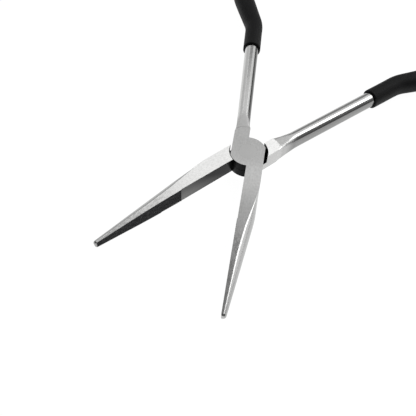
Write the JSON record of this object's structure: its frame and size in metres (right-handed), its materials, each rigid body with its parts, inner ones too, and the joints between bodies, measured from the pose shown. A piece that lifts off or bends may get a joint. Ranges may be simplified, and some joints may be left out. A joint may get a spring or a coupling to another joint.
{
  "type": "fishing pliers",
  "caption": "Long-nose fishing pliers with slender toothed jaws, a riveted lap joint, long rounded shanks and cranked black sleeve grips, held open.",
  "frame": {"origin": "on the rivet's axis, in the lower side face of the joint", "axes": "+Z along the rivet's axis to the upper side face, -Y towards the jaw tips and +Y towards the handle ends, along the line that halves the angle between the jaws, +X to the side on which the upper half has its jaw"},
  "size_m": [0.1872, 0.2517, 0.0132],
  "materials": {
    "satin_steel": "fine satin grind, duller where it was not ground",
    "rivet_steel": "ground flush with the joint's side faces",
    "grip_black": "matt moulded black"
  },
  "bodies": {
    "upper_half": {"upper_jaw_and_handle": "satin_steel", "upper_grip": "grip_black", "pivot_rivet": "rivet_steel"},
    "lower_half": {"lower_jaw_and_handle": "satin_steel", "lower_grip": "grip_black"}
  },
  "joints": [
    {"name": "pivot", "type": "hinge", "parent": "upper_half", "child": "lower_half", "pos_m": [0, 0, 0], "axis": [0, 0, 1], "range_deg": [-11, 43.3]}
  ]
}
